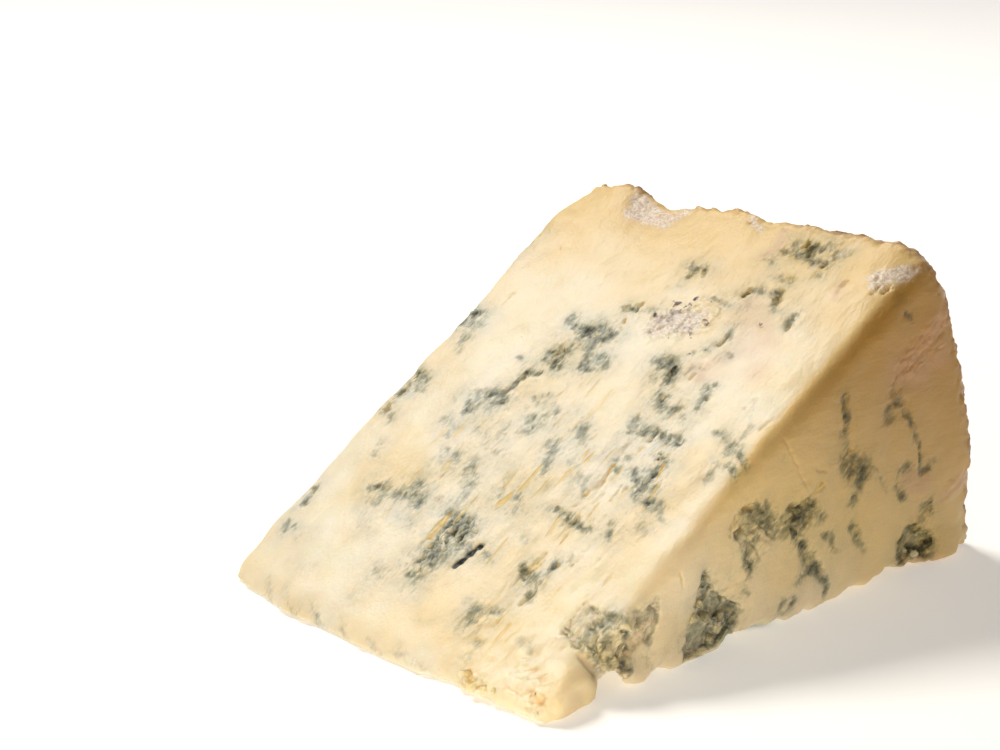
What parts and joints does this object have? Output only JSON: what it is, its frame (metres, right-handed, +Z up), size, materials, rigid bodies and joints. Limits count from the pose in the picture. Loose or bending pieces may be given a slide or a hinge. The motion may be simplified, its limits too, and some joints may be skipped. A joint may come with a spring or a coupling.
{
  "type": "blue stilton wedge",
  "caption": "Wedge of blue-veined cheese cut from a tall round wheel, lying on one cut face, with rind at the back and a blunt crumbly tip.",
  "frame": {"origin": "under the middle of the wedge, on the flat lower cut face it lies on", "axes": "+Y from the blunt tip out to the rind, +X through the height of the wheel towards the end face with the open mould pocket, +Z up"},
  "size_m": [0.0761, 0.1018, 0.0544],
  "materials": {
    "paste": "moist cream paste with blue-green mould veins, deepening to yellow ochre under a thin dusty brown rind"
  },
  "bodies": {
    "root": {"cheese_wedge": "paste"}
  },
  "joints": []
}
